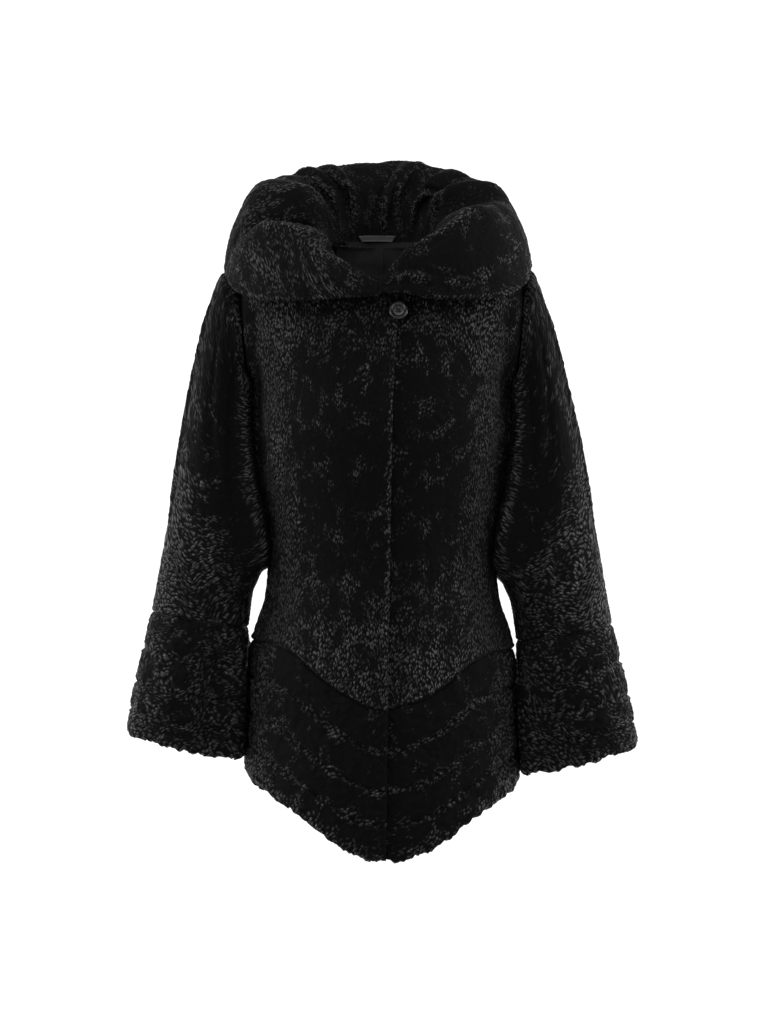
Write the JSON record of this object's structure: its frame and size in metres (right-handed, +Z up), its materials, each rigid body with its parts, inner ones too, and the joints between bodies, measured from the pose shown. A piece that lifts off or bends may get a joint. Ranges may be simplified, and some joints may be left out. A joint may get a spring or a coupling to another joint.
{
  "type": "shearling jacket",
  "caption": "Black curly shearling jacket worn hollow: fold-over funnel collar, wide set-in sleeves with banded cuffs, pointed banded hem and a coat button under the collar.",
  "frame": {"origin": "middle of the neck, level with the back neck seam, where the wearer's shoulders hold the jacket up", "axes": "+X towards the wearer's left, -Y towards the front, +Z up"},
  "size_m": [0.684, 0.2859, 0.9389],
  "materials": {
    "body_fur": "sheared curly lamb fur, black with a soft sheen",
    "band_fur": "sheared curly lamb fur in four strips with stitched grooves between them, black",
    "collar_fur": "sheared curly lamb fur, black with a soft sheen",
    "satin": "black satin lining",
    "tape": "grey woven tape",
    "button": "polished black"
  },
  "bodies": {
    "root": {"body_back": "body_fur", "front_right": "body_fur", "front_left": "body_fur", "hem_band_back": "band_fur", "hem_band_right": "band_fur", "hem_band_left": "band_fur", "sleeve_right": "body_fur", "sleeve_left": "body_fur", "cuff_right": "band_fur", "cuff_left": "band_fur", "collar": "collar_fur", "neck_lining": "satin", "hanger_loop": "tape", "button": "button"}
  },
  "joints": []
}
